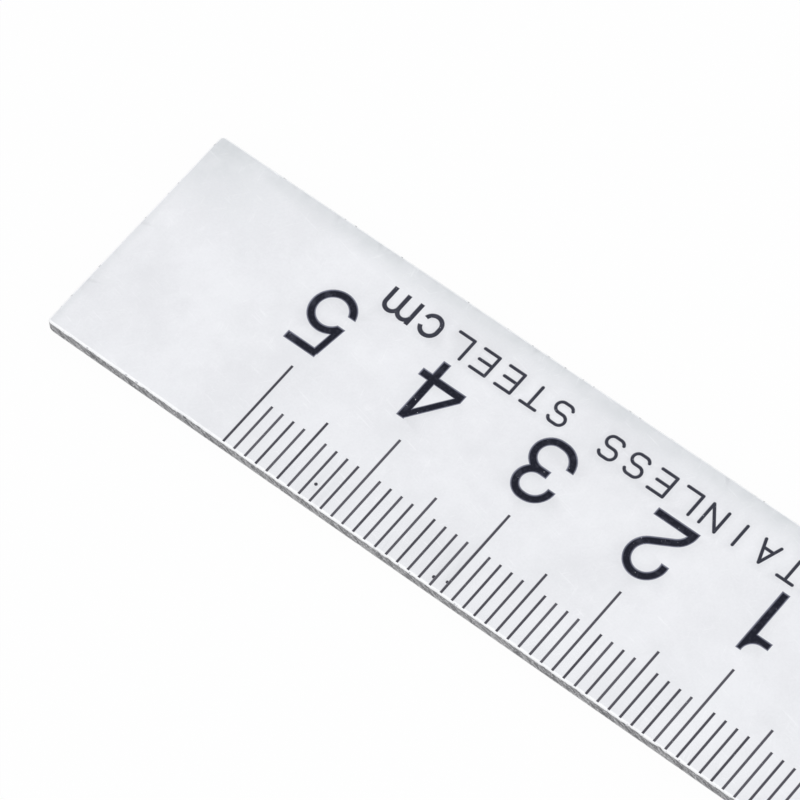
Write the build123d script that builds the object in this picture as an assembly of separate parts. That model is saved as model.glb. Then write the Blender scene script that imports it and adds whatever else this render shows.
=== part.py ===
from build123d import *
import os

os.makedirs("parts", exist_ok=True)

# A flat steel square for leatherwork: one L-shaped plate whose two inner edges carry
# centimetre scales. Every mark is a shallow etched recess that is filled with black
# paint, and each group of paint fills is written as a node of its own.
#
# Frame, in millimetres: the origin is the inner corner, where both scales read zero.
# The short leg runs along +X and the long leg along +Y. The back face lies at Z = 0,
# and +Z points out of the graduated front face.

# The plate
short_leg_inside = 66.6         # inner corner to the end of the short leg
long_leg_inside = 116.6         # inner corner to the end of the long leg
leg_width = 20.0                # inner edge to outer edge, on both legs
plate_thickness = 1.2
edge_round = 0.12               # along the rims of the front and back faces
corner_radius = 0.4             # the outer corner and the legs' end corners, in plan
inner_corner_radius = 0.3

# The etching and its paint
etch_depth = 0.10
paint_sink = 0.02               # the paint's surface lies this far below the steel's
cutter_rise = 1.0               # how far each etching cutter stands above the front face

# The scale lines, each measured across the leg from its inner edge
blank_end = 16.6                # plain steel beyond the last centimetre line
line_width = 0.19
line_start = 0.17
millimetre_line_end = 4.5
half_centimetre_line_end = 5.9
centimetre_line_end = 8.0

# The numerals
numeral_height = 5.5
numeral_stroke = 0.66
slanted_stroke = 0.56           # the slanting strokes of the 4 and 5
numeral_advance = 4.2           # from one digit to the next in a number of two digits
numeral_pitch = 10.14           # the short leg's numerals are set slightly wider than its lines
numeral_shift = -0.12

# The unit mark and the lettering
small_height = 2.1              # the unit mark's letters and the capitals
unit_stroke = 0.35
unit_before_last_line = 4.2     # the unit mark's middle, back from the last centimetre line
letter_stroke = 0.25
letter_pitch = 2.31
lettering_gap = 1.0             # between the lettering and the unit mark
lettering_text = "STAINLESS STEEL"

# Lines, numerals and small marks are three rows across the leg. The width that they leave
# is shared in fixed parts: above the numerals, above the small marks, and below them.
spare_width = leg_width - centimetre_line_end - numeral_height - small_height
gap_above_numerals = spare_width * 0.34
gap_above_small_marks = spare_width * 0.15
numeral_baseline = centimetre_line_end + gap_above_numerals + numeral_height
small_baseline = numeral_baseline + gap_above_small_marks + small_height

# Numerals are drawn on a grid 11 units tall, and the small marks on one 10 units tall.
numeral_unit = numeral_height / 11
small_unit = small_height / 10
letter_width = 7.6 * small_unit
unit_mark_half = 11.9           # half the unit mark's width, on the small grid


def short_leg(along, across):
    """A place on the short leg: along its scale, and across from its inner edge."""
    return Pos(along, -across)


def long_leg(along, across):
    """The same on the long leg, whose marks are read from its outer side."""
    return Pos(-across, along) * Rot(0, 0, -90)


def scale_centimetres(inside_length):
    """How many whole centimetres the scale of a leg has before its blank end."""
    return int((inside_length - blank_end) / 10 + 0.001)


def joined(faces):
    """One sketch from strokes that overlap."""
    return Sketch() + faces


# Numerals: each is centred on X = 0 and stands on Y = 0.

def on_grid(x, y):
    return (x * numeral_unit, y * numeral_unit)


def grid_arc(x, y, radius, start, sweep):
    """An arc on the numeral grid, about the centre x, y, in degrees."""
    return CenterArc(on_grid(x, y), radius * numeral_unit, start, sweep)


def bar(x_from, x_to, y_middle):
    """A level stroke from one X to the other, in millimetres from the baseline."""
    return Pos((x_from + x_to) / 2 * numeral_unit, y_middle) * Rectangle(
        (x_to - x_from) * numeral_unit, numeral_stroke
    )


def cut_away(x_from, x_to, y_from, y_to):
    """A box on the numeral grid that trims a round stroke's end level."""
    middle = on_grid((x_from + x_to) / 2, (y_from + y_to) / 2)
    return Pos(*middle) * Rectangle(*on_grid(x_to - x_from, y_to - y_from))


top_bar_middle = numeral_height - numeral_stroke / 2
foot_bar_middle = numeral_stroke / 2
top_grid = top_bar_middle / numeral_unit
foot_grid = foot_bar_middle / numeral_unit


def numeral_0():
    outer = Ellipse(3.7 * numeral_unit, numeral_height / 2)
    inner = Ellipse(3.7 * numeral_unit - numeral_stroke, numeral_height / 2 - numeral_stroke)
    return Pos(0, numeral_height / 2) * (outer - inner)


def numeral_1():
    """A stem whose flag is a short level bar, with a hollow curve up to the top."""
    stem_left = 2.0 * numeral_unit - numeral_stroke
    stem_right = 2.0 * numeral_unit
    flag_left = -2.0 * numeral_unit
    flag_top = 8.8 * numeral_unit
    flag_bottom = 7.6 * numeral_unit
    curve_start = -0.9 * numeral_unit
    curve_end = 1.1 * numeral_unit
    curve = TangentArc((curve_start, flag_top), (curve_end, numeral_height), tangent=(1, 0))
    rest = Polyline(
        curve @ 1,
        (stem_right, numeral_height),
        (stem_right, 0),
        (stem_left, 0),
        (stem_left, flag_bottom),
        (flag_left, flag_bottom),
        (flag_left, flag_top),
        curve @ 0,
    )
    return make_face([curve, rest])


def numeral_2():
    """A round hook that runs down a slant and turns into the stem of the foot bar."""
    hook = grid_arc(0.1, 7.5, 2.9, 205, -265)
    slant = Line(hook @ 1, hook @ 1 + (hook % 1) * 3.6 * numeral_unit)
    turn = JernArc(slant @ 1, slant % 1, 3.0 * numeral_unit, 60)
    drop = Line(turn @ 1, ((turn @ 1).X, 0))
    stroke = trace([hook, slant, turn, drop], numeral_stroke)
    foot_left = (turn @ 1).X / numeral_unit
    whole = joined([stroke, bar(foot_left, 3.7, foot_bar_middle)])
    return whole - cut_away(-4, -1, 5, 6.9)


def numeral_3():
    """Two bowls, the lower one larger, that share a short middle bar."""
    middle = 5.6
    lowest = foot_grid - 0.2
    upper_radius = (top_grid - middle) / 2
    lower_radius = (middle - lowest) / 2
    upper_right = grid_arc(0.25, middle + upper_radius, upper_radius, 90, -180)
    lower_right = grid_arc(0.6, middle - lower_radius, lower_radius, 90, -180)
    upper_left = grid_arc(-0.1, top_grid - 2.85, 2.85, 200, -110)
    lower_left = grid_arc(0.05, lowest + 3.1, 3.1, 270, -100)
    top = Line(upper_left @ 1, upper_right @ 0)
    foot = Line(lower_right @ 1, lower_left @ 0)
    stub = on_grid(-1.5, middle)
    upper = trace([upper_left, top, upper_right, Line(upper_right @ 1, stub)], numeral_stroke)
    lower = trace([Line(stub, lower_right @ 0), lower_right, foot, lower_left], numeral_stroke)
    return joined([upper, lower]) - cut_away(-4, -1, 3.4, 7.3)


def numeral_4():
    """A closed 4 with flat ends, whose crossbar passes the stem."""
    stem_left = 2.3 * numeral_unit - numeral_stroke
    stem_right = 2.3 * numeral_unit
    bar_bottom = 2.65 * numeral_unit
    bar_top = bar_bottom + numeral_stroke
    bar_left = -3.95 * numeral_unit
    bar_right = 3.95 * numeral_unit
    blunt_foot = 0.08
    blunt_head = 0.07
    stem = Polyline(
        (stem_left, 0),
        (stem_right, 0),
        (stem_right, numeral_height),
        (stem_left, numeral_height),
        close=True,
    )
    crossbar = Polyline(
        (bar_left, bar_bottom),
        (bar_right, bar_bottom),
        (bar_right, bar_top),
        (bar_left, bar_top),
        close=True,
    )
    slant_foot = Vector(bar_left, bar_top + blunt_foot)
    slant_head = Vector(stem_left + blunt_head, numeral_height)
    slant_way = (slant_head - slant_foot).normalized()
    inward = Vector(slant_way.Y, -slant_way.X) * slanted_stroke
    inner_foot = slant_foot + inward
    inner_foot -= slant_way * (inner_foot.Y - bar_bottom)
    slant = Polyline(
        (bar_left, bar_bottom),
        slant_foot,
        slant_head,
        slant_head + inward,
        inner_foot,
        close=True,
    )
    return joined([make_face(stem), make_face(crossbar), make_face(slant)])


def numeral_5():
    """A top bar, a slanting stem and a round bowl that is cut level at its foot."""
    bowl = grid_arc(0.0, 3.5, 3.1, 175, 335)
    slant = Line(on_grid(-2.93, 4.5), on_grid(-2.2, top_grid))
    strokes = [
        trace([bowl], numeral_stroke),
        trace([slant], slanted_stroke),
        bar(-2.65, 3.1, top_bar_middle),
    ]
    return joined(strokes) - cut_away(-4, -1.5, 2.8, 4.8)


def numeral_6():
    """A round bowl whose left side runs up into a hook."""
    radius = 3.0
    middle = Vector(*on_grid(0.1, foot_grid + radius))
    side_foot = middle - Vector(radius * numeral_unit, 0)
    side = Line(side_foot, on_grid(0.1 - radius, top_grid - radius))
    hook = JernArc(side @ 1, (0, 1), radius * numeral_unit, -175)
    outer = Pos(middle) * Circle(radius * numeral_unit + numeral_stroke / 2)
    inner = Pos(middle) * Circle(radius * numeral_unit - numeral_stroke / 2)
    whole = joined([outer, trace([side, hook], numeral_stroke)]) - inner
    return whole - cut_away(1, 5, 7.3, 7.9)


def numeral_7():
    """A top bar and a slanting stem that bows to the right."""
    stem = ThreePointArc(on_grid(3.0, top_grid), on_grid(0.3, 5.6), on_grid(-0.9, 0))
    return joined([bar(-3.5, 3.55, top_bar_middle), trace([stem], numeral_stroke)])


def numeral_8():
    """Two rings, the lower one larger."""
    waist = 5.7 * numeral_unit
    overlap = numeral_stroke * 0.9
    upper_radius = (numeral_height - waist + overlap / 2) / 2
    lower_radius = (waist + overlap / 2) / 2
    upper = Pos(0, numeral_height - upper_radius)
    lower = Pos(0, lower_radius)
    outer = joined([upper * Circle(upper_radius), lower * Circle(lower_radius)])
    outer -= upper * Circle(upper_radius - numeral_stroke)
    return outer - lower * Circle(lower_radius - numeral_stroke)


def numeral_9():
    """The 6, turned half way round."""
    return Pos(0, numeral_height) * Rot(0, 0, 180) * numeral_6()


digit_shapes = [
    numeral_0,
    numeral_1,
    numeral_2,
    numeral_3,
    numeral_4,
    numeral_5,
    numeral_6,
    numeral_7,
    numeral_8,
    numeral_9,
]


def number(value):
    """A whole number, with its digits centred on X = 0."""
    digits = str(value)
    first = -(len(digits) - 1) / 2 * numeral_advance
    return [
        Pos(first + index * numeral_advance, 0) * digit_shapes[int(digit)]()
        for index, digit in enumerate(digits)
    ]


# The unit mark and the capitals, drawn on their own grid from the baseline up.

def small(x, y):
    return (x * small_unit, y * small_unit)


def small_arc(x, y, radius, start, sweep):
    """An arc on the small grid, about the centre x, y, in degrees."""
    return CenterArc(small(x, y), radius * small_unit, start, sweep)


def small_lines(*points):
    """Straight strokes, one from each point to the next."""
    return [Line(small(*start), small(*end)) for start, end in zip(points, points[1:])]


def unit_letter_c():
    """A narrow bowl: two arcs with a short upright between them."""
    half = unit_stroke / 2 / small_unit
    radius = 3.4
    middle = radius + half - unit_mark_half
    upper = small_arc(middle, 10 - half - radius, radius, 15, 165)
    lower = small_arc(middle, half + radius, radius, 180, 165)
    return trace([upper, Line(upper @ 1, lower @ 0), lower], unit_stroke)


def unit_letter_m():
    """Three stems under two round arches."""
    half = unit_stroke / 2 / small_unit
    stem_pitch = 5.65
    arch = stem_pitch / 2
    right = unit_mark_half - half
    springing = 10 - half - arch
    left = right - 2 * stem_pitch
    strokes = [trace(small_lines((left, 0), (left, 10)), unit_stroke)]
    for stem in (right - stem_pitch, right):
        curve = small_arc(stem - arch, springing, arch, 180, -180)
        strokes.append(trace([curve, Line(curve @ 1, small(stem, 0))], unit_stroke))
    return joined(strokes)


def capital(strokes):
    """Straight and round strokes with round ends, joined into one capital."""
    faces = []
    for stroke in strokes:
        faces.append(trace([stroke], letter_stroke))
        faces.append(Pos(stroke @ 0) * Circle(letter_stroke / 2))
        faces.append(Pos(stroke @ 1) * Circle(letter_stroke / 2))
    return joined(faces)


# The capitals' centre lines stay half a stroke inside their box.
pen = letter_stroke / 2 / small_unit
side = letter_width / 2 / small_unit - pen
cap_top = 10 - pen


def letter_s():
    bend = (cap_top - pen) / 4
    flat = side - bend
    upper = cap_top - bend
    lower = pen + bend
    head = small_arc(flat, upper, bend, 25, 65)
    upper_bend = small_arc(-flat, upper, bend, 90, 180)
    lower_bend = small_arc(flat, lower, bend, 90, -180)
    tail = small_arc(-flat, lower, bend, 270, -65)
    return capital(
        [
            head,
            Line(head @ 1, upper_bend @ 0),
            upper_bend,
            Line(upper_bend @ 1, lower_bend @ 0),
            lower_bend,
            Line(lower_bend @ 1, tail @ 0),
            tail,
        ]
    )


def letter_t():
    top = small_lines((-side, cap_top), (side, cap_top))
    return capital(top + small_lines((0, pen), (0, cap_top)))


def letter_a():
    bar_height = 3.6
    bar_side = side * (1 - (bar_height - pen) / (cap_top - pen))
    legs = small_lines((-side, pen), (0, cap_top), (side, pen))
    return capital(legs + small_lines((-bar_side, bar_height), (bar_side, bar_height)))


def letter_i():
    return capital(small_lines((0, pen), (0, cap_top)))


def letter_n():
    return capital(small_lines((-side, pen), (-side, cap_top), (side, pen), (side, cap_top)))


def letter_l():
    return capital(small_lines((-side, cap_top), (-side, pen), (side, pen)))


def letter_e():
    spine = small_lines((side, cap_top), (-side, cap_top), (-side, pen), (side, pen))
    return capital(spine + small_lines((-side, 5), (side * 0.75, 5)))


letter_shapes = {
    "S": letter_s,
    "T": letter_t,
    "A": letter_a,
    "I": letter_i,
    "N": letter_n,
    "L": letter_l,
    "E": letter_e,
}


# The marks of one leg, as flat faces in the plate's frame.

def scale_lines(place, positions, line_end):
    """Scale lines that end at one distance from the inner edge."""
    line = Rectangle(line_width, line_end - line_start)
    middle = (line_start + line_end) / 2
    return [place(along, middle) * line for along in positions]


def scale_numerals(place, count, pitch, shift):
    """The numbers of the centimetre lines."""
    faces = []
    for value in range(1, count + 1):
        spot = place(value * pitch + shift, numeral_baseline)
        faces.extend(spot * digit for digit in number(value))
    return faces


def unit_mark(place, count):
    """The letters cm, just before the last centimetre line."""
    spot = place(count * 10 - unit_before_last_line, small_baseline)
    return [spot * unit_letter_c(), spot * unit_letter_m()]


def leg_marks(name, place, inside_length, pitch, shift):
    """Every mark of one leg's scale, by node name."""
    count = scale_centimetres(inside_length)
    millimetres = [step for step in range(1, count * 10) if step % 5]
    half_centimetres = [step for step in range(5, count * 10, 10)]
    centimetres = [step * 10 for step in range(1, count + 1)]
    return {
        f"{name}_millimetre_lines": scale_lines(place, millimetres, millimetre_line_end),
        f"{name}_half_centimetre_lines": scale_lines(
            place, half_centimetres, half_centimetre_line_end
        ),
        f"{name}_centimetre_lines": scale_lines(place, centimetres, centimetre_line_end),
        f"{name}_numerals": scale_numerals(place, count, pitch, shift),
        f"{name}_unit_mark": unit_mark(place, count),
    }


def lettering():
    """The steel's kind, on the short leg, ending just before its unit mark."""
    last_line = scale_centimetres(short_leg_inside) * 10
    unit_left = last_line - unit_before_last_line - unit_mark_half * small_unit
    last_middle = unit_left - lettering_gap - letter_width / 2
    faces = []
    for index, letter in enumerate(reversed(lettering_text)):
        if letter in letter_shapes:
            spot = short_leg(last_middle - index * letter_pitch, small_baseline)
            faces.append(spot * letter_shapes[letter]())
    return faces


def plate_blank():
    """The L-shaped plate before its marks are etched, with its rims rounded."""
    outline = Polyline(
        (0, 0),
        (short_leg_inside, 0),
        (short_leg_inside, -leg_width),
        (-leg_width, -leg_width),
        (-leg_width, long_leg_inside),
        (0, long_leg_inside),
        close=True,
    )
    plan = make_face(outline)
    corners = plan.vertices().sort_by_distance((0, 0, 0))
    plan = fillet(corners[1:], corner_radius)
    plan = fillet(plan.vertices().sort_by_distance((0, 0, 0))[0], inner_corner_radius)
    plate = extrude(plan, plate_thickness)
    faces = plate.faces().sort_by(Axis.Z)
    return fillet(faces[0].edges() + faces[-1].edges(), edge_round)


def raised(faces, height):
    """Solids of one height that stand on the floor of the etching."""
    floor = plate_thickness - etch_depth
    return [Pos(0, 0, floor) * extrude(face, height, dir=(0, 0, 1)) for face in faces]


marks = leg_marks("short_leg", short_leg, short_leg_inside, numeral_pitch, numeral_shift)
marks["short_leg_lettering"] = lettering()
marks.update(leg_marks("long_leg", long_leg, long_leg_inside, 10, 0))

cutters = []
for node, faces in marks.items():
    cutters.extend(raised(faces, etch_depth + cutter_rise))
    paint = raised(faces, etch_depth - paint_sink)
    export_step(Compound(children=paint), f"parts/{node}.step")

export_step(plate_blank() - cutters, "parts/steel_square.step")
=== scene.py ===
# %% [markdown]
# # A steel square ruler, dressed for its picture
#
# The object is a flat L-shaped square for leatherwork. It is one stamped stainless plate with
# two centimetre scales, and black paint lies in every etched mark. This lesson starts from a
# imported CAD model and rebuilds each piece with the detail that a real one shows: soft rims,
# a sheared edge, small knocks, etched recesses with a soft lip, and paint that creeps up the
# walls of its recess as it dries.

import math

import bmesh
import bpy
import numpy as np
from mathutils import Matrix, Vector, noise
from mathutils.geometry import delaunay_2d_cdt


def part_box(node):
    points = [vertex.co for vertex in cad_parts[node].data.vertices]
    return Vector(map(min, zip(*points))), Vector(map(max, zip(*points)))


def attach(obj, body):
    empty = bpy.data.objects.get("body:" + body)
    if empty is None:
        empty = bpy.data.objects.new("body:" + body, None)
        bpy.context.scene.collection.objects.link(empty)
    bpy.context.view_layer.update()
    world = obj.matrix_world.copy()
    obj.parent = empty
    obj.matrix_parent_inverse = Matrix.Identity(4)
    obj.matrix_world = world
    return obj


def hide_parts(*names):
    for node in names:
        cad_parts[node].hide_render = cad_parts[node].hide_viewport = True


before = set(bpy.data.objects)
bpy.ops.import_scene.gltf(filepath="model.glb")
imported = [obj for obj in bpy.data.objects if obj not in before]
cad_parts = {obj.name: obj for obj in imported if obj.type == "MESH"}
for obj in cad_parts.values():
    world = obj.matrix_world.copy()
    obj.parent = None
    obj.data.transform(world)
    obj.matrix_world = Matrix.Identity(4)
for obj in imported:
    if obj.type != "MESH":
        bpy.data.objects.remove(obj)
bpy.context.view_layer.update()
print("CAD nodes:", ", ".join(sorted(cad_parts)))

# %% [markdown]
# ## Working in millimetres
#
# Blender works in metres here, and the object's details are hundredths of a millimetre. The
# mesh code therefore thinks in millimetres, and each finished mesh is scaled to metres once.
# Every place comes from the boxes of the CAD nodes, so the new pieces land exactly where the
# CAD has them.

# %% Sizes from the CAD frame
MM = 0.001
plate_low, plate_high = (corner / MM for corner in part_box("steel_square"))
plate_thickness = plate_high.z
paint_low, paint_high = (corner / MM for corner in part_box("short_leg_numerals"))
recess_floor = paint_low.z
paint_surface = paint_high.z
print("plate from", tuple(plate_low), "to", tuple(plate_high))
print("recess floor", round(recess_floor, 3), "paint surface", round(paint_surface, 3))


def finished_mesh(name, points, faces, numbers=None, round_faces=None):
    """A mesh in metres from points in millimetres, with a number per point for each name.

    Its first round_faces faces are shaded smooth, or all of them, and the rest flat.
    """
    mesh = bpy.data.meshes.new(name)
    mesh.from_pydata([tuple(p) for p in points], [], faces)
    mesh.transform(Matrix.Scale(MM, 4))
    for label, values in (numbers or {}).items():
        attribute = mesh.attributes.new(label, "FLOAT", "POINT")
        attribute.data.foreach_set("value", np.asarray(values, np.float32))
    smooth = np.arange(len(faces)) < (len(faces) if round_faces is None else round_faces)
    mesh.polygons.foreach_set("use_smooth", smooth)
    mesh.set_sharp_from_angle(angle=math.radians(35))
    return mesh


def finished_piece(mesh, slot, material, *nodes):
    """An object for a mesh, which rides on the one body and stands for its CAD nodes."""
    piece = bpy.data.objects.new(mesh.name, mesh)
    bpy.context.scene.collection.objects.link(piece)
    mesh.materials.clear()
    mesh.materials.append(material)
    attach(piece, "root")
    if nodes:
        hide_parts(*nodes)
    print(mesh.name, "has", sum(len(f.vertices) - 2 for f in mesh.polygons), "triangles")
    return piece


# %% [markdown]
# ## Materials written as arithmetic
#
# A finish is built from many small node operations. To keep it readable, one class wraps the
# output of a node, so that `noise * 0.3 + 0.5` adds its Math nodes. Every other node comes
# from one method that takes its kind, its settings and its inputs. The same two classes build
# the Geometry Nodes tree later, because it uses the same Math nodes.

# %% Wires and boards
class Wire:
    """The output of a node. Arithmetic on it adds Math nodes."""

    def __init__(self, board, socket):
        self.board = board
        self.socket = socket

    def math(self, operation, *values):
        return self.board.add("ShaderNodeMath", {"operation": operation}, dict(enumerate(values)))

    def __add__(self, other):
        return self.math("ADD", self, other)

    __radd__ = __add__

    def __sub__(self, other):
        return self.math("SUBTRACT", self, other)

    def __rsub__(self, other):
        return self.math("SUBTRACT", other, self)

    def __mul__(self, other):
        return self.math("MULTIPLY", self, other)

    __rmul__ = __mul__

    def __pow__(self, other):
        return self.math("POWER", self, other)

    def smaller(self, other):
        return self.math("MINIMUM", self, other)

    def larger(self, other):
        return self.math("MAXIMUM", self, other)

    def between(self, low, high):
        """0 up to low and 1 from high on, with a soft step from one to the other."""
        return self.board.add(
            "ShaderNodeMapRange",
            {"interpolation_type": "SMOOTHSTEP"},
            {"Value": self, "From Min": low, "From Max": high},
        )


class Board:
    """A node tree, and the one method that adds nodes to it."""

    def __init__(self, tree):
        self.tree = tree

    def add(self, kind, settings=None, sockets=None, output=0):
        node = self.tree.nodes.new(kind)
        for name, value in (settings or {}).items():
            setattr(node, name, value)
        for key, value in (sockets or {}).items():
            if isinstance(value, Wire):
                self.tree.links.new(value.socket, node.inputs[key])
            else:
                node.inputs[key].default_value = value
        return Wire(self, node.outputs[output]) if len(node.outputs) else node


class Finish(Board):
    """A material's node tree, with the few patterns that the finishes share."""

    def __init__(self, name):
        self.material = bpy.data.materials.new(name)
        self.material.use_nodes = True
        self.material.node_tree.nodes.clear()
        super().__init__(self.material.node_tree)

    def place(self):
        """The point on the object, in metres from the inner corner."""
        return self.add("ShaderNodeTexCoord", output="Object")

    def axis(self, vector, which):
        return self.add("ShaderNodeSeparateXYZ", {}, {0: vector}, output=which)

    def vector(self, x, y, z):
        return self.add("ShaderNodeCombineXYZ", {}, {0: x, 1: y, 2: z})

    def number(self, name):
        """A number that the mesh stores at each point."""
        return self.add("ShaderNodeAttribute", {"attribute_name": name}, output="Fac")

    def noise(self, vector, scale, detail=2.0, roughness=0.5):
        sockets = {"Vector": vector, "Scale": scale, "Detail": detail, "Roughness": roughness}
        return self.add("ShaderNodeTexNoise", {}, sockets)

    def turned(self, vector, degrees, stretch):
        """The pattern's place, turned in the plane of the plate and then stretched."""
        return self.add(
            "ShaderNodeMapping",
            {"vector_type": "POINT"},
            {
                "Vector": self.add(
                    "ShaderNodeVectorRotate",
                    {"rotation_type": "Z_AXIS"},
                    {"Vector": vector, "Angle": math.radians(degrees)},
                ),
                "Scale": stretch,
            },
        )

    def blend(self, share, first, second):
        """One colour at share 0 and the other at share 1."""
        first, second = (c if isinstance(c, Wire) else (*c, 1.0) for c in (first, second))
        return self.add(
            "ShaderNodeMix",
            {"data_type": "RGBA"},
            {0: share, 6: first, 7: second},
            output=2,
        )

    def surface(self, shader):
        self.add("ShaderNodeOutputMaterial", {}, {"Surface": shader})
        return self.material


print("material helpers ready")

# %% [markdown]
# ## The steel's finish
#
# The plate is rolled stainless sheet with a fine satin face. Up close it shows clouds a few
# millimetres wide, a fine tooth, and short scratches that lie in all directions. A darker band
# is painted along the outer edges and the ends as painted shade, where the reflected light
# falls off. The rims are painted near white as a painted highlight, broken by chips and wear,
# and so is a narrow margin of the face along the two graduated edges. The sheared wall below
# the rims is painted a darker grey, as painted shade for the shade that it reflects, with real
# streaks from the die. One material holds all of this. The mesh stores which part is rim, wall
# or etched recess, so the finishes run softly into each other.

# %% The satin steel material
def satin_steel():
    steel = Finish("satin_steel")
    place = steel.place()
    rim = steel.number("rim")
    wall = steel.number("wall")
    etched = steel.number("etched")
    around = steel.number("around")

    clouds = steel.noise(place, 150, 3.0)
    patches = steel.noise(place, 640, 3.0, 0.6)
    tooth = steel.noise(place, 5200, 3.0, 0.6)
    scratches = 0.0
    for degrees, length, shift in ((12, 260, 0.0), (74, 420, 0.3), (128, 340, 0.7)):
        along = steel.turned(place, degrees, (length, 9000.0, 0.0))
        broken = steel.noise(steel.turned(place, degrees + 20, (500.0, 900.0, 0.0)), 1.0, 1.0)
        line = steel.noise(along, 1.0 + shift, 1.0)
        scratches = line.between(0.64, 0.70) * broken.between(0.5, 0.62) + scratches
    scratches = scratches.smaller(1.0)

    x = steel.axis(place, "X")
    y = steel.axis(place, "Y")
    outer_gap = (x - plate_low.x * MM).smaller(y - plate_low.y * MM)
    end_gap = (plate_high.x * MM - x).smaller(plate_high.y * MM - y)
    # Painted shade: the face is darkened along the outer edges and the ends, in place of the
    # reflected light falling off there.
    painted_edge_shade = 1 - outer_gap.between(0.0, 0.0024)
    painted_edge_shade = (painted_edge_shade * 0.7).larger((1 - end_gap.between(0.0002, 0.0009)) * 0.3)
    broad_edge_shade = (1 - outer_gap.between(0.0, 0.008)) * (1 - end_gap.between(0.0, 0.010))
    painted_edge_shade = painted_edge_shade.larger(broad_edge_shade * 0.75) * (patches.between(0.2, 0.8) * 0.7 + 0.5)

    lean = around + steel.axis(place, "Z") * 0.9
    streaks = steel.noise(steel.vector(lean, steel.axis(place, "Z") * 0.35, 0.0), 3000, 3.0, 0.7)
    specks = steel.noise(place, 5200, 1.0).between(0.56, 0.66)
    chips = steel.noise(steel.vector(around, 0.0, 0.0), 1900, 2.0, 0.6).between(0.57, 0.65)
    worn = steel.noise(steel.vector(around, 0.0, 0.0), 160, 2.0).between(0.35, 0.65)
    # Painted highlight: the front and back rims get a near-white colour where they would catch
    # the light, broken by chips and wear.
    ragged = steel.noise(steel.vector(around, 5.0, 0.0), 900, 3.0, 0.7)
    front_rim = (steel.axis(place, "Z") + ragged * 0.0004).between(0.00130, 0.00135)
    back_rim = 1 - steel.axis(place, "Z").between(0.00004, 0.00012)
    painted_rim_highlight = front_rim.larger(back_rim) * rim.larger(wall) * (0.75 + worn * 0.25)

    face_tone = clouds * 0.45 + patches * 0.3 + tooth * 0.25
    face_colour = steel.blend(
        face_tone.between(0.3, 0.7), (0.78, 0.781, 0.797), (0.867, 0.869, 0.884)
    )
    face_colour = steel.blend(painted_edge_shade, face_colour, (0.64, 0.66, 0.67))
    face_colour = steel.blend(scratches * 0.2, face_colour, (0.95, 0.95, 0.96))
    # Painted highlight: a narrow margin of the face along the two graduated edges is painted near
    # white, which widens the bright line of the rim.
    painted_edge_highlight = 1 - (x.smaller(y) * -1.0).between(0.00017, 0.00028)
    face_colour = steel.blend(painted_edge_highlight * 0.85, face_colour, (0.99, 0.99, 0.99))
    # Painted shade: the sheared wall is painted a dark grey in place of the shade that it
    # reflects; the streaks from the die and the specks are real.
    wall_shade_and_streaks = steel.blend(streaks.between(0.38, 0.62), (0.15, 0.15, 0.16), (0.42, 0.42, 0.43))
    wall_shade_and_streaks = steel.blend(specks * 0.6, wall_shade_and_streaks, (0.72, 0.72, 0.74))
    rim_highlight_colour = steel.blend(chips * 0.75, (0.99, 0.99, 0.99), (0.42, 0.42, 0.44))
    colour = steel.blend(wall, face_colour, wall_shade_and_streaks)
    colour = steel.blend(painted_rim_highlight, colour, rim_highlight_colour)
    colour = steel.blend(etched, colour, (0.10, 0.10, 0.12))

    roughness = 0.36 + patches * 0.08 + tooth * 0.06 - scratches * 0.12
    roughness = roughness + wall * 0.12 - rim * 0.16

    height = tooth * 0.6 + scratches * -0.5 + wall * streaks * 3.0
    bump = steel.add(
        "ShaderNodeBump",
        {},
        {"Strength": 0.25, "Distance": 0.00001, "Height": height},
    )
    return steel.surface(
        steel.add(
            "ShaderNodeBsdfPrincipled",
            {},
            {
                "Base Color": colour,
                "Metallic": 1.0,
                "Roughness": roughness,
                "Normal": bump,
            },
        )
    )


steel_finish = satin_steel()
print("satin_steel has", len(steel_finish.node_tree.nodes), "nodes")

# %% [markdown]
# ## The paint's finish
#
# The marks are filled with a glossy blue-black enamel. In the wide numerals it is deep and
# shiny. Its edge against the recess wall is painted lighter, as a painted highlight where the
# raised edge catches the light, and some patches are painted greyer as painted reflections.
# Specks of dust are light too, and they also stand in for tiny glints. In the narrow scale
# lines the paint is thinner and duller, so it shows as a dark grey with a trace of violet. One
# function makes the finish of numerals, letters and lines, with tone and gloss as choices.

# %% The enamel material
def enamel(name, deep, sheen_colour, gloss, sheen_from):
    paint = Finish(name)
    place = paint.place()
    edge = paint.number("edge")
    flow = paint.noise(place, 950, 2.0)
    pores = paint.noise(place, 6500, 2.0, 0.6)
    # Painted highlight and reflection: the paint is lighter near the recess wall, where its
    # raised edge catches the light, and greyer in patches of the flow. Each line's own tone is
    # real.
    sheen_and_tone = edge.between(sheen_from, 1.0) * (0.35 + flow * 1.1)
    sheen_and_tone = sheen_and_tone.larger(flow.between(0.52, 0.7) * 0.08 + pores.between(0.5, 0.7) * 0.06)
    sheen_and_tone = sheen_and_tone.larger(paint.number("tone") * 0.5)
    colour = paint.blend(sheen_and_tone.smaller(1.0), deep, sheen_colour)
    # Specks of dust, which also stand in for tiny painted glints.
    dust_and_glints = paint.noise(place, 8200, 1.0).between(0.73, 0.77) * flow.between(0.48, 0.62)
    colour = paint.blend(dust_and_glints, colour, (0.55, 0.56, 0.6))
    roughness = gloss + flow * 0.1 + pores * 0.08
    bump = paint.add(
        "ShaderNodeBump",
        {},
        {"Strength": 0.3, "Distance": 0.00001, "Height": flow * 0.7 + pores * 0.3},
    )
    return paint.surface(
        paint.add(
            "ShaderNodeBsdfPrincipled",
            {},
            {
                "Base Color": colour,
                "Roughness": roughness,
                "Specular IOR Level": 0.16,
                "Normal": bump,
            },
        )
    )


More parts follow.
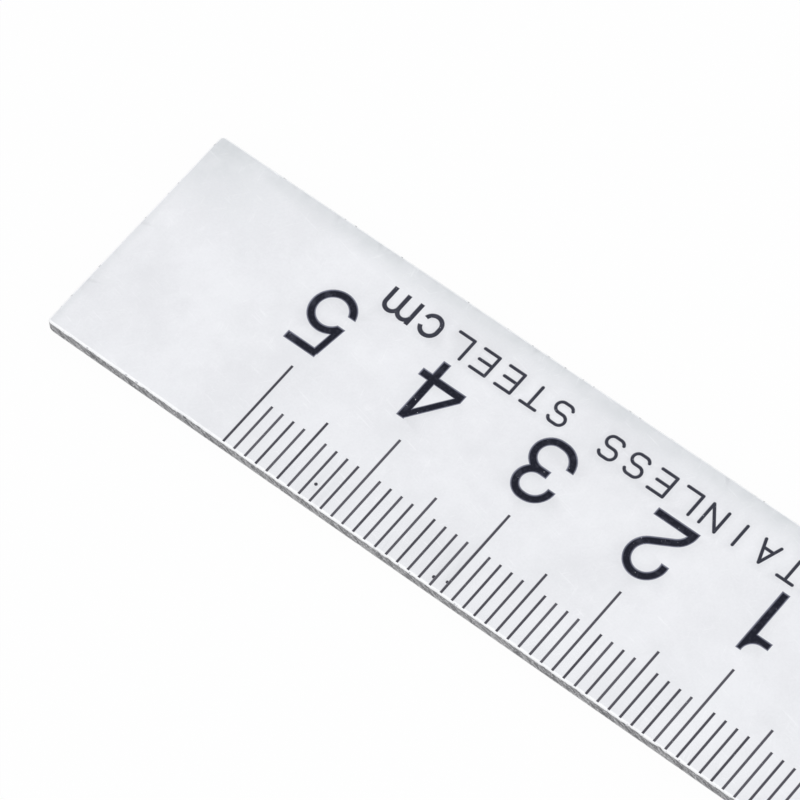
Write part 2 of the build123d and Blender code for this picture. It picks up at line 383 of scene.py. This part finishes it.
# Each second colour is the lighter one used for the painted highlight at the edge, the painted
# reflections and each line's tone.
numeral_finish = enamel("numeral_enamel", (0.003, 0.004, 0.014), (0.27, 0.28, 0.36), 0.12, 0.25)
letter_finish = enamel("letter_enamel", (0.034, 0.036, 0.052), (0.19, 0.195, 0.23), 0.2, 0.2)
line_finish = enamel("line_enamel", (0.057, 0.055, 0.069), (0.18, 0.172, 0.197), 0.3, 0.3)
print("enamels:", numeral_finish.name, letter_finish.name, line_finish.name)

# %% [markdown]
# ## The outlines of the marks
#
# Each mark is a recess in the plate and a fill of paint in it, and both need the mark's
# outline. Drawing the glyphs again in Blender could let them drift from the CAD. So the
# outlines are read from the CAD nodes instead: on a merged copy, the edges around the upward
# faces chain into closed loops, with the paint always on their left.

# %% Read the outlines
def outlines_of(node):
    """The closed outlines of a node's paint, as arrays of corners in millimetres."""
    copy = bmesh.new()
    copy.from_mesh(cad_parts[node].data)
    bmesh.ops.remove_doubles(copy, verts=copy.verts, dist=1e-7)
    copy.normal_update()
    upward = {face for face in copy.faces if face.normal.z > 0.5}
    follows = {}
    for face in upward:
        for corner in face.loops:
            if sum(other in upward for other in corner.edge.link_faces) == 1:
                follows[corner.vert] = corner.link_loop_next.vert
    loops = []
    while follows:
        vert = next(iter(follows))
        loop = []
        while vert in follows:
            loop.append((vert.co.x / MM, vert.co.y / MM))
            vert = follows.pop(vert)
        loops.append(np.array(loop))
    copy.free()
    return loops


mark_nodes = sorted(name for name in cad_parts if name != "steel_square")
outlines = {name: outlines_of(name) for name in mark_nodes}
for name, loops in outlines.items():
    print(name, len(loops), "outlines,", sum(map(len, loops)), "corners")

# %% [markdown]
# ## Flat shapes with a soft edge
#
# The plate's face and the paint's surface are the same kind of shape: a flat region whose
# height changes in a narrow band beside an outline. Such a region could be cut with boolean
# modifiers, but they leave ragged triangles at this size. A constrained triangulation is
# cleaner. The outlines and a second line just beside them go in as edges, and then each
# point's height follows from its distance to the nearest outline.

# %% Distance, inside and triangulation
def reach_of(loop, points, margin):
    """The points within a margin of a loop's box."""
    low = loop.min(axis=0) - margin
    high = loop.max(axis=0) + margin
    return np.nonzero(((points > low) & (points < high)).all(axis=1))[0]


def distance_to(loops, points, margin):
    """Each point's distance to the nearest outline, or the margin if that is less."""
    nearest = np.full(len(points), float(margin))
    for loop in loops:
        near = reach_of(loop, points, margin)
        side = np.roll(loop, -1, axis=0) - loop
        offset = points[near][:, None] - loop[None]
        share = np.clip((offset * side).sum(-1) / (side * side).sum(-1), 0, 1)
        gap = np.linalg.norm(offset - share[..., None] * side, axis=-1)
        nearest[near] = np.minimum(nearest[near], gap.min(axis=1, initial=margin))
    return nearest


def inside(loops, points):
    """Which points lie in the outlines, where a loop inside another is a hole."""
    odd = np.zeros(len(points), bool)
    for loop in loops:
        near = reach_of(loop, points, 0.0)
        x, y = points[near, 0, None], points[near, 1, None]
        x1, y1 = loop[:, 0], loop[:, 1]
        x2, y2 = np.roll(x1, -1), np.roll(y1, -1)
        rise = np.where(y2 == y1, 1.0, y2 - y1)
        crossed = ((y1 > y) != (y2 > y)) & (x < x1 + (y - y1) * (x2 - x1) / rise)
        odd[near] ^= crossed.sum(axis=1) % 2 == 1
    return odd


def beside(loop, distance):
    """The loop moved sideways: to its left if the distance is positive."""
    def left(vector):
        turned = np.c_[-vector[:, 1], vector[:, 0]]
        return turned / np.linalg.norm(turned, axis=1, keepdims=True)

    before = left(loop - np.roll(loop, 1, axis=0))
    after = left(np.roll(loop, -1, axis=0) - loop)
    both = before + after
    return loop + both * (distance / np.maximum((both * before).sum(1), 0.12))[:, None]


def clear_beside(loops, distances):
    """The loops moved sideways by each distance, without the points that come too close.

    In a tight corner a moved loop folds over. Only its points that really are that far from
    every outline stay.
    """
    chains = []
    for distance in distances:
        for loop in loops:
            moved = beside(loop, distance)
            moved = moved[distance_to(loops, moved, 1.0) > abs(distance) * 0.97]
            if len(moved) > 2:
                chains.append(moved)
    return chains


def triangulated(chains, loose=()):
    """Points and triangles whose edges keep to some closed chains, with loose points between.

    The third result says which point of the chains each point was, or None.
    """
    points, edges = [], []
    for chain in chains:
        start, count = len(points), len(chain)
        points += chain.tolist()
        edges += [(start + i, start + (i + 1) % count) for i in range(count)]
    points += loose
    made = delaunay_2d_cdt([Vector(p) for p in points], edges, [], 0, 1e-6)
    sources = [min(own) if own else None for own in made[3]]
    return np.array([tuple(p) for p in made[0]]), np.array(made[2]), sources


def rim_edges(triangles):
    """The directed edges that only one triangle of a set has."""
    directed = {(t[i], t[(i + 1) % 3]) for t in triangles.tolist() for i in range(3)}
    return [(a, b) for a, b in directed if (b, a) not in directed]


print("triangulation helpers ready")

# %% [markdown]
# ## The plate's outline
#
# The outline is an L with slightly rounded corners. On a real plate it isn't perfect: the
# sheared edges waver by hundredths of a millimetre, and knocks have left small nicks on
# the rim. The outline is therefore sampled every 0.15 mm, and each sample keeps its place,
# its outward direction and how far round the plate it lies. Any fault only moves inwards, so
# the plate never grows beyond its true size.

# %% Walk round the L
corner_round = 0.4
inner_corner_round = 0.3
corner_steps = 7
sample_step = 0.15


def walk_round():
    """Places and outward directions along the L, counter-clockwise, seen from the front."""
    corners = [
        (plate_low.x, plate_low.y, corner_round),
        (plate_high.x, plate_low.y, corner_round),
        (plate_high.x, 0.0, corner_round),
        (0.0, 0.0, -inner_corner_round),
        (0.0, plate_high.y, corner_round),
        (plate_low.x, plate_high.y, corner_round),
    ]
    places, outwards = [], []
    for i, (x, y, radius) in enumerate(corners):
        corner = np.array((x, y))
        before = np.array(corners[i - 1][:2])
        after = np.array(corners[(i + 1) % len(corners)][:2])
        arriving = (corner - before) / np.linalg.norm(corner - before)
        leaving = (after - corner) / np.linalg.norm(after - corner)
        centre = corner + (leaving - arriving) * abs(radius)
        first = np.array((arriving[1], -arriving[0]))
        last = np.array((leaving[1], -leaving[0]))
        for k in range(corner_steps):
            turn = math.pi / 2 * k / corner_steps
            outward = first * math.cos(turn) + last * math.sin(turn)
            places.append(centre + outward * radius)
            outwards.append(outward)
        begin = corner + leaving * abs(radius)
        end = after - leaving * abs(corners[(i + 1) % len(corners)][2])
        steps = round(np.linalg.norm(end - begin) / sample_step)
        for k in range(steps):
            places.append(begin + (end - begin) * k / steps)
            outwards.append(last)
    return np.array(places), np.array(outwards)


edge_places, edge_outwards = walk_round()
edge_lengths = np.linalg.norm(np.roll(edge_places, -1, axis=0) - edge_places, axis=1)
edge_around = np.concatenate([[0.0], np.cumsum(edge_lengths)[:-1]])
print(len(edge_places), "samples round", round(edge_lengths.sum(), 1), "mm")

# %% [markdown]
# ## The plate's cross-section
#
# Seen end on, the edge is a wall with a small round at the back and front. Rows of points
# follow that section: a support row on the flat back, the back round, the wall, the front
# round, and a support row on the front face. The support rows keep the flat faces truly flat
# when the rims are shaded smooth. Each row also says how much of it is rim or wall.

# %% Rows of the section
edge_round = 0.12
support_gap = 0.01
wall_steps = 6


def section_rows():
    """Rows of inset, height, rim share and wall share, from the back face to the front."""
    rows = [(edge_round + support_gap, 0.0, 0.0, 0.0)]
    for k in range(4):
        turn = math.pi / 2 * k / 3
        rows.append((edge_round * (1 - math.sin(turn)), edge_round * (1 - math.cos(turn)),
                     1.0 - 0.7 * k / 3, 0.6 * k / 3))
    for k in range(1, wall_steps):
        height = edge_round + (plate_thickness - 2 * edge_round) * k / wall_steps
        rows.append((0.0, height, 0.0, 1.0))
    front_shares = ((0.0, 1.0), (0.1, 0.9), (0.7, 0.4), (1.0, 0.0), (1.0, 0.0), (1.0, 0.0))
    for k, (rim_share, wall_share) in enumerate(front_shares):
        turn = math.pi / 2 * (1 - k / 5)
        rows.append((edge_round * (1 - math.sin(turn)),
                     plate_thickness - edge_round * (1 - math.cos(turn)),
                     rim_share, wall_share))
    rows.append((edge_round + support_gap, plate_thickness, 0.0, 0.0))
    return rows


rows = section_rows()
print(len(rows), "rows from back to front")

# %% [markdown]
# ## Wear on the edge
#
# Two things disturb the section. A slow waver comes from the press. It is stronger on the
# outer edges, and almost nothing on the two graduated edges, which were ground true. Small
# nicks from use sit on the rims. Both are worked out as a depth for each sample and row, and
# a fixed seed makes them the same in every run.

# %% Waver and nicks
def is_graduated(place):
    """Whether a place lies on one of the two inner edges."""
    return abs(place[0]) < 0.35 and place[1] > -0.35 or abs(place[1]) < 0.35 and place[0] > -0.35


graduated = np.array([is_graduated(place) for place in edge_places])
ground_waver, sheared_waver = 0.003, 0.028
waver_depth = np.where(graduated, ground_waver, sheared_waver)
waver = np.array([
    noise.noise(Vector((x * 0.32, y * 0.32, 0.0))) * 0.7
    + noise.noise(Vector((x * 1.4, y * 1.4, 4.0))) * 0.3
    for x, y in edge_places
])
waver = waver_depth * (0.5 + 0.5 * np.clip(waver * 1.6, -1, 1))

nick_seed = np.random.default_rng(17)
front_nicks = np.zeros(len(edge_places))
back_nicks = np.zeros(len(edge_places))
front_nick_count, back_nick_count = 260, 90
for nicks, count in ((front_nicks, front_nick_count), (back_nicks, back_nick_count)):
    for middle in nick_seed.uniform(0, edge_lengths.sum(), count):
        reach = nick_seed.uniform(0.16, 0.45)
        depth = nick_seed.uniform(0.02, 0.10) * nick_seed.uniform(0.3, 1.0)
        nicks += depth * np.clip(1 - np.abs(edge_around - middle) / reach, 0, 1) ** 1.4
outer_nick_share = 0.15
front_nicks *= np.where(graduated, 1.0, outer_nick_share)
print("deepest nick", round(float(front_nicks.max()), 3), "mm")

nick_centre, nick_height = 0.03, 0.2
nick_sink = 0.45
die_mark_depth = 0.008
room_share = 0.8


def edge_point(i, row):
    """Where sample i lies on a row, once waver, nicks and die marks are taken off.

    Nothing is taken beyond the room that a row has, so that rows never meet.
    """
    inset, height, _, wall_share = rows[row]
    from_front = plate_thickness - height
    on_edge = 0 < row < len(rows) - 1
    at_front = max(0.0, 1 - abs(from_front - nick_centre) / nick_height) if on_edge else 0.0
    at_back = max(0.0, 1 - abs(height - nick_centre) / nick_height) if on_edge else 0.0
    x, y = edge_places[i]
    marks = noise.noise(Vector((x * 5.0, y * 5.0, height * 2.2 + 9.0)))
    taken = front_nicks[i] * at_front + back_nicks[i] * at_back
    taken += wall_share * die_mark_depth * (0.5 + 0.5 * marks)
    room = room_share * (edge_round + support_gap - inset)
    sideways = inset + waver[i] + min(taken, room)
    sunk = nick_sink * front_nicks[i] * at_front
    place = edge_places[i] - edge_outwards[i] * sideways
    return (place[0], place[1], height - sunk)


# %% [markdown]
# ## The front face with its recesses
#
# The face is flat apart from the etched marks. Acid leaves a slightly soft lip, so the steel
# bends down over a few hundredths of a millimetre before the wall of the recess drops to
# the floor. A few stray droplets of paint lie between the lines as well, in pits of their
# own, as they do where a stencil lifted.

# %% Stray droplets
def droplet(x, y, across, seed, flat_side=None):
    """An uneven round outline, counter-clockwise, in millimetres.

    With a flat side, it is cut straight at that X, where it leans against a scale line.
    """
    corners = 14
    turns = np.arange(corners) / corners * 2 * math.pi
    wobble = np.random.default_rng(seed).uniform(0.72, 1.15, corners)
    wobble = (wobble + np.roll(wobble, 1) + np.roll(wobble, -1)) / 3 * across / 2
    wide = x + np.cos(turns) * wobble
    if flat_side is not None:
        wide = np.maximum(wide, flat_side)
    return np.c_[wide, y + np.sin(turns) * wobble]


droplets = [
    droplet(42.5, -1.53, 0.27, 1),
    droplet(31.17, -0.86, 0.30, 2, flat_side=31.11),
    droplet(30.16, -1.12, 0.26, 3, flat_side=30.11),
    droplet(-2.6, 36.5, 0.22, 6),
    droplet(-1.5, 71.4, 0.16, 7),
]
print(len(droplets), "droplets")

# %% Build the plate
lip_width = 0.025
lip_drop = 0.012
floor_gap = 0.002
grid_step = 2.0
grid_clearance = 0.3


def steel_plate():
    mark_loops = [loop for loops in outlines.values() for loop in loops] + droplets
    count, last = len(edge_places), len(rows) - 1
    numbers = {"rim": [], "wall": [], "etched": [], "around": []}
    points, faces = [], []

    def note(rim, wall, etched, around):
        for label, value in zip(numbers, (rim, wall, etched, around)):
            numbers[label].append(value)

    for row, (_, _, rim_share, wall_share) in enumerate(rows):
        for i in range(count):
            points.append(edge_point(i, row))
            note(rim_share, wall_share, 0.0, edge_around[i] * MM)
    for row in range(last):
        for i in range(count):
            j = (i + 1) % count
            faces.append((row * count + i, row * count + j,
                          (row + 1) * count + j, (row + 1) * count + i))

    round_faces = len(faces)
    ring = np.array([points[last * count + i][:2] for i in range(count)])
    grid = [
        [float(x), float(y)]
        for x in np.arange(plate_low.x + grid_step / 2, plate_high.x, grid_step)
        for y in np.arange(plate_low.y + grid_step / 2, plate_high.y, grid_step)
        if x < -0.5 or y < -0.5
    ]
    grid_gaps = distance_to(mark_loops, np.array(grid), 1.0)
    grid = [p for p, gap in zip(grid, grid_gaps) if gap > grid_clearance]
    chains = [ring, *mark_loops, *clear_beside(mark_loops, (-lip_width,))]
    flat, triangles, sources = triangulated(chains, grid)
    middles = flat[triangles].mean(axis=1)
    on_plate = inside([ring], middles)
    in_mark = inside(mark_loops, middles)
    gaps = distance_to(mark_loops, flat, lip_width)

    upper = {}
    for k, (x, y) in enumerate(flat):
        if sources[k] is not None and sources[k] < count:
            upper[k] = last * count + sources[k]
            continue
        upper[k] = len(points)
        share = gaps[k] / lip_width
        points.append((x, y, plate_thickness - lip_drop * (1 - share) ** 1.5))
        note(0.0, 0.0, (1 - share) * 0.7, 0.0)
    lower = {}
    for triangle in triangles[on_plate & ~in_mark].tolist():
        faces.append(tuple(upper[k] for k in triangle))
    recessed = triangles[on_plate & in_mark]
    for k in sorted(set(recessed.ravel().tolist())):
        lower[k] = len(points)
        points.append((flat[k][0], flat[k][1], recess_floor - floor_gap))
        note(0.0, 0.0, 1.0, 0.0)
    for triangle in recessed.tolist():
        faces.append(tuple(lower[k] for k in triangle))
    for a, b in rim_edges(recessed):
        faces.append((upper[a], upper[b], lower[b], lower[a]))

    back = np.array([points[i][:2] for i in range(count)])
    flat, triangles, sources = triangulated([back])
    keep = triangles[inside([back], flat[triangles].mean(axis=1))]
    for triangle in keep.tolist():
        faces.append(tuple(sources[k] for k in triangle[::-1]))
    return points, faces, numbers, round_faces


plate_mesh = finished_mesh("satin_plate", *steel_plate())
finished_piece(plate_mesh, "steel", steel_finish, "steel_square")

# %% [markdown]
# ## Paint in the numerals and letters
#
# Wet enamel climbs the wall of its recess, and when it dries its surface is a shallow dish
# with a raised edge. That edge is what catches the light and draws a thin bright line round
# a real printed figure, and the enamel paints it lighter as well, as a painted highlight. The
# fill is a closed solid: a dished surface, walls along the outline, and a flat underside on
# the recess floor.

# %% Dished fills
numeral_dish = 0.18
letter_dish = 0.06
droplet_dish = 0.04
droplet_rise = 0.004
dish_depth = 0.022


def dished_fill(name, loops, surface, dish):
    """Paint in a group of outlines: high along its edge, and dished in the middle."""
    chains = [*loops, *clear_beside(loops, (dish * 0.45, dish, dish * 1.25))]
    flat, triangles, _ = triangulated(chains)
    triangles = triangles[inside(loops, flat[triangles].mean(axis=1))]
    gaps = distance_to(loops, flat, dish)
    used = sorted(set(triangles.ravel().tolist()))
    place = {k: n for n, k in enumerate(used)}
    upper = len(used)
    share = gaps[used] / dish
    ripple = np.array([noise.noise(Vector((x * 1.3, y * 1.3, 2.0))) for x, y in flat[used]])
    sink = dish_depth * (1 - (1 - share) ** 2) * (1 + 0.5 * ripple)
    points = [(x, y, surface - d) for (x, y), d in zip(flat[used], sink)]
    points += [(x, y, recess_floor) for x, y in flat[used]]
    faces = [tuple(place[k] for k in t) for t in triangles.tolist()]
    faces += [tuple(place[k] + upper for k in t[::-1]) for t in triangles.tolist()]
    for a, b in rim_edges(triangles):
        a, b = place[a], place[b]
        faces.append((b, a, a + upper, b + upper))
    edge = np.concatenate([1 - share, np.ones(upper)])
    return finished_mesh(name, points, faces, {"edge": edge})


for node in mark_nodes:
    if node.endswith("numerals"):
        name = node.replace("numerals", "numeral_enamel")
        fill = dished_fill(name, outlines[node], paint_surface, numeral_dish)
        finished_piece(fill, "black_paint", numeral_finish, node)
    elif node.endswith(("unit_mark", "lettering")):
        fill = dished_fill(node + "_enamel", outlines[node], paint_surface, letter_dish)
        finished_piece(fill, "black_paint", letter_finish, node)
fill = dished_fill("enamel_droplets", droplets, paint_surface + droplet_rise, droplet_dish)
finished_piece(fill, "black_paint", line_finish)

# %% [markdown]
# ## Paint in the scale lines
#
# A scale is the same stroke again and again: one for each millimetre, longer at the fifth
# and at the tenth. That is work for Geometry Nodes. One tree takes the first line, the
# spacing, how many there are, which to leave out, and the stroke's own sizes. It places a
# small dished bar at each point, lets each one differ a little under a fixed seed, and is
# used six times, once for each kind of line on each leg.

# %% The tree for scale lines
scale_inputs = {
    "First line": ("NodeSocketFloat", 1.0),
    "Spacing": ("NodeSocketFloat", 1.0),
    "Count": ("NodeSocketInt", 1),
    "Leave out every": ("NodeSocketInt", 1000),
    "Near end": ("NodeSocketFloat", 0.0),
    "Far end": ("NodeSocketFloat", 1.0),
    "Width": ("NodeSocketFloat", 0.19),
    "Floor": ("NodeSocketFloat", 0.0),
    "Surface": ("NodeSocketFloat", 0.1),
    "Dish": ("NodeSocketFloat", 0.01),
    "Turn": ("NodeSocketFloat", 0.0),
    "Unevenness": ("NodeSocketFloat", 0.0),
    "Seed": ("NodeSocketInt", 0),
    "Paint": ("NodeSocketMaterial", None),
}


def scale_line_tree():
    tree = bpy.data.node_groups.new("scale_lines", "GeometryNodeTree")
    tree.interface.new_socket("Geometry", in_out="OUTPUT", socket_type="NodeSocketGeometry")
    for name, (kind, value) in scale_inputs.items():
        socket = tree.interface.new_socket(name, in_out="INPUT", socket_type=kind)
        if value is not None:
            socket.default_value = value
    board = Board(tree)
    given = tree.nodes.new("NodeGroupInput")
    wanted = {name: Wire(board, given.outputs[name]) for name in scale_inputs}

    def vector(x, y, z):
        return board.add("ShaderNodeCombineXYZ", {}, {0: x, 1: y, 2: z})

    def axis(source, which):
        return board.add("ShaderNodeSeparateXYZ", {}, {0: source}, output=which)

    def chance(low, high, step):
        sockets = {2: low, 3: high, "Seed": wanted["Seed"] + step}
        return board.add("FunctionNodeRandomValue", {"data_type": "FLOAT"}, sockets, output=1)

    length = wanted["Far end"] - wanted["Near end"]
    length = length.math("ABSOLUTE", length)
    thickness = wanted["Surface"] - wanted["Floor"]
    bar = board.add(
        "GeometryNodeMeshCube",
        {},
        {
            "Size": vector(wanted["Width"], length, thickness),
            "Vertices X": 5,
            "Vertices Y": 6,
            "Vertices Z": 2,
        },
    )
    where = board.add("GeometryNodeInputPosition")
    to_side = axis(where, "X").math("ABSOLUTE", axis(where, "X")) * 2.0
    to_side = to_side.math("DIVIDE", to_side, wanted["Width"])
    on_top = axis(where, "Z").math("GREATER_THAN", axis(where, "Z"), 0.0)
    dish = (1 - to_side * to_side) * wanted["Dish"] * on_top * -1.0
    bar = board.add(
        "GeometryNodeSetPosition", {}, {"Geometry": bar, "Offset": vector(0.0, 0.0, dish)}
    )
    bar = board.add(
        "GeometryNodeStoreNamedAttribute",
        {"data_type": "FLOAT", "domain": "POINT"},
        {"Geometry": bar, "Name": "edge", "Value": to_side ** 2.0},
    )
    points = board.add(
        "GeometryNodeMeshLine",
        {"mode": "OFFSET"},
        {
            "Count": wanted["Count"],
            "Start Location": vector(
                wanted["First line"],
                (wanted["Near end"] + wanted["Far end"]) * 0.5,
                (wanted["Floor"] + wanted["Surface"]) * 0.5,
            ),
            "Offset": vector(wanted["Spacing"], 0.0, 0.0),
        },
    )
    order = board.add("GeometryNodeInputIndex") + 1
    remainder = order.math("MODULO", order, wanted["Leave out every"])
    points = board.add(
        "GeometryNodeDeleteGeometry",
        {"domain": "POINT"},
        {"Geometry": points, "Selection": remainder.math("LESS_THAN", remainder, 0.5)},
    )
    uneven = wanted["Unevenness"]
    narrower = 1 - chance(0.0, 1.0, 1) * uneven
    shorter = 1 - chance(0.0, 0.1, 2) * uneven
    lines = board.add(
        "GeometryNodeInstanceOnPoints",
        {},
        {"Points": points, "Instance": bar, "Scale": vector(narrower, shorter, 1.0)},
    )
    lines = board.add(
        "GeometryNodeStoreNamedAttribute",
        {"data_type": "FLOAT", "domain": "INSTANCE"},
        {"Geometry": lines, "Name": "tone", "Value": chance(0.0, 1.0, 3)},
    )
    turn = vector(0.0, 0.0, wanted["Turn"])
    lines = board.add("GeometryNodeTransform", {}, {"Geometry": lines, "Rotation": turn})
    lines = board.add("GeometryNodeRealizeInstances", {}, {"Geometry": lines})
    lines = board.add(
        "GeometryNodeSetMaterial", {}, {"Geometry": lines, "Material": wanted["Paint"]}
    )
    board.add("NodeGroupOutput", {}, {"Geometry": lines})
    return tree


line_tree = scale_line_tree()
print("scale_lines takes", ", ".join(scale_inputs))

# %% Grow each scale
def grow_lines(name, values):
    """The tree's result as a plain mesh in metres."""
    holder = bpy.data.objects.new(name, bpy.data.meshes.new(name + "_seed"))
    bpy.context.scene.collection.objects.link(holder)
    modifier = holder.modifiers.new("lines", "NODES")
    modifier.node_group = line_tree
    for item in line_tree.interface.items_tree:
        if item.in_out == "INPUT" and item.name in values:
            modifier[item.identifier] = values[item.name]
    seen = holder.evaluated_get(bpy.context.evaluated_depsgraph_get())
    mesh = bpy.data.meshes.new_from_object(seen)
    holder.modifiers.remove(modifier)
    bpy.data.objects.remove(holder)
    mesh.name = name
    mesh.transform(Matrix.Scale(MM, 4))
    mesh.shade_smooth()
    mesh.set_sharp_from_angle(angle=math.radians(35))
    return mesh


line_dish = 0.02
line_unevenness = 0.07
line_kinds = {
    "millimetre_lines": (1.0, 1.0, 5),
    "half_centimetre_lines": (5.0, 10.0, 1000),
    "centimetre_lines": (10.0, 10.0, 1000),
}
for leg, seed in (("short_leg", 3), ("long_leg", 11)):
    for kind, (first, spacing, leave_out) in line_kinds.items():
        node = f"{leg}_{kind}"
        low, high = (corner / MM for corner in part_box(node))
        if leg == "short_leg":
            line_width = 2 * (first - low.x)
            span, near, far, turn = high.x - low.x, high.y, low.y, 0.0
        else:
            line_width = 2 * (first - low.y)
            span, near, far, turn = high.y - low.y, -high.x, -low.x, math.pi / 2
        values = {
            "First line": first,
            "Spacing": spacing,
            "Count": round((span - line_width) / spacing) + 1,
            "Leave out every": leave_out,
            "Near end": near,
            "Far end": far,
            "Width": line_width,
            "Floor": recess_floor,
            "Surface": paint_surface,
            "Dish": line_dish,
            "Turn": turn,
            "Unevenness": line_unevenness,
            "Seed": seed,
            "Paint": line_finish,
        }
        lines = grow_lines(f"{node}_enamel", values)
        finished_piece(lines, "black_paint", line_finish, node)
        print(node, values["Count"], "places, stroke", round(line_width, 3), "mm wide")

# %% [markdown]
# ## The table and the light
#
# The picture is a cut-out on white. The table is a plain pale surface that is seen as white
# by the camera and in the metal, and still takes a faint shadow. The light is a white tent
# with one broad lamp above, which is what makes satin steel look even and nearly white.

# %% Table, tent and lamp
def pale_table():
    table = Finish("pale_table")
    path = table.add("ShaderNodeLightPath", output="Is Camera Ray")
    seen = path.larger(table.add("ShaderNodeLightPath", output="Is Glossy Ray"))
    seen = seen.larger(table.add("ShaderNodeLightPath", output="Is Transmission Ray"))
    matte = table.add("ShaderNodeBsdfDiffuse", {}, {"Color": (0.8, 0.8, 0.8, 1.0)})
    white = table.add("ShaderNodeEmission", {}, {"Color": (1, 1, 1, 1), "Strength": 1.0})
    both = table.add("ShaderNodeMixShader", {}, {0: seen * 0.97, 1: matte, 2: white})
    return table.surface(both)


table_mesh = bpy.data.meshes.new("table")
half_table = 2.0
table_height = -0.00002
table_corners = [
    (x * half_table, y * half_table, table_height)
    for x, y in ((-1, -1), (1, -1), (1, 1), (-1, 1))
]
table_mesh.from_pydata(table_corners, [], [(0, 1, 2, 3)])
table_mesh.materials.append(pale_table())
table = bpy.data.objects.new("table", table_mesh)
bpy.context.scene.collection.objects.link(table)

world = bpy.data.worlds.new("white_tent")
bpy.context.scene.world = world
world.use_nodes = True
world.node_tree.nodes.clear()
tent = Board(world.node_tree)
seen_directly = tent.add("ShaderNodeLightPath", output="Is Camera Ray")
tent_colour = (0.97, 0.98, 1.0, 1.0)
around_it = tent.add("ShaderNodeBackground", {}, {"Color": tent_colour, "Strength": 0.95})
behind_it = tent.add("ShaderNodeBackground", {}, {"Color": (1, 1, 1, 1), "Strength": 1.0})
tent_mix = tent.add("ShaderNodeMixShader", {}, {0: seen_directly, 1: around_it, 2: behind_it})
tent.add("ShaderNodeOutputWorld", {}, {"Surface": tent_mix})


def soft_lamp(name, place, target, size, power):
    lamp = bpy.data.lights.new(name, "AREA")
    lamp.shape = "DISK"
    lamp.size = size
    lamp.energy = power
    holder = bpy.data.objects.new(name, lamp)
    holder.location = place
    direction = Vector(target) - Vector(place)
    holder.rotation_euler = direction.to_track_quat("-Z", "Y").to_euler()
    bpy.context.scene.collection.objects.link(holder)
    return holder


lamp_place = (0.30, -0.28, 0.80)
lamp_target = (0.03, 0.0, 0.0)
soft_lamp("broad_lamp", lamp_place, lamp_target, size=0.5, power=0.16)
print("table, tent and lamp in place")

# %% [markdown]
# ## The camera
#
# The picture looks down on the end of the short leg through a long lens, so the two long
# edges stay nearly parallel. The place, the turn and the lens are plain numbers, in metres,
# degrees and millimetres.

# %% Camera
lens = bpy.data.cameras.new("camera")
lens.lens = 267.2
lens.sensor_width = 36.0
camera = bpy.data.objects.new("camera", lens)
camera.location = (-0.1016, 0.14276, 0.37237)
camera.rotation_euler = [math.radians(a) for a in (29.4275, 2.3561, -141.0235)]
bpy.context.scene.collection.objects.link(camera)
bpy.context.scene.camera = camera
bpy.context.scene.view_settings.view_transform = "Standard"
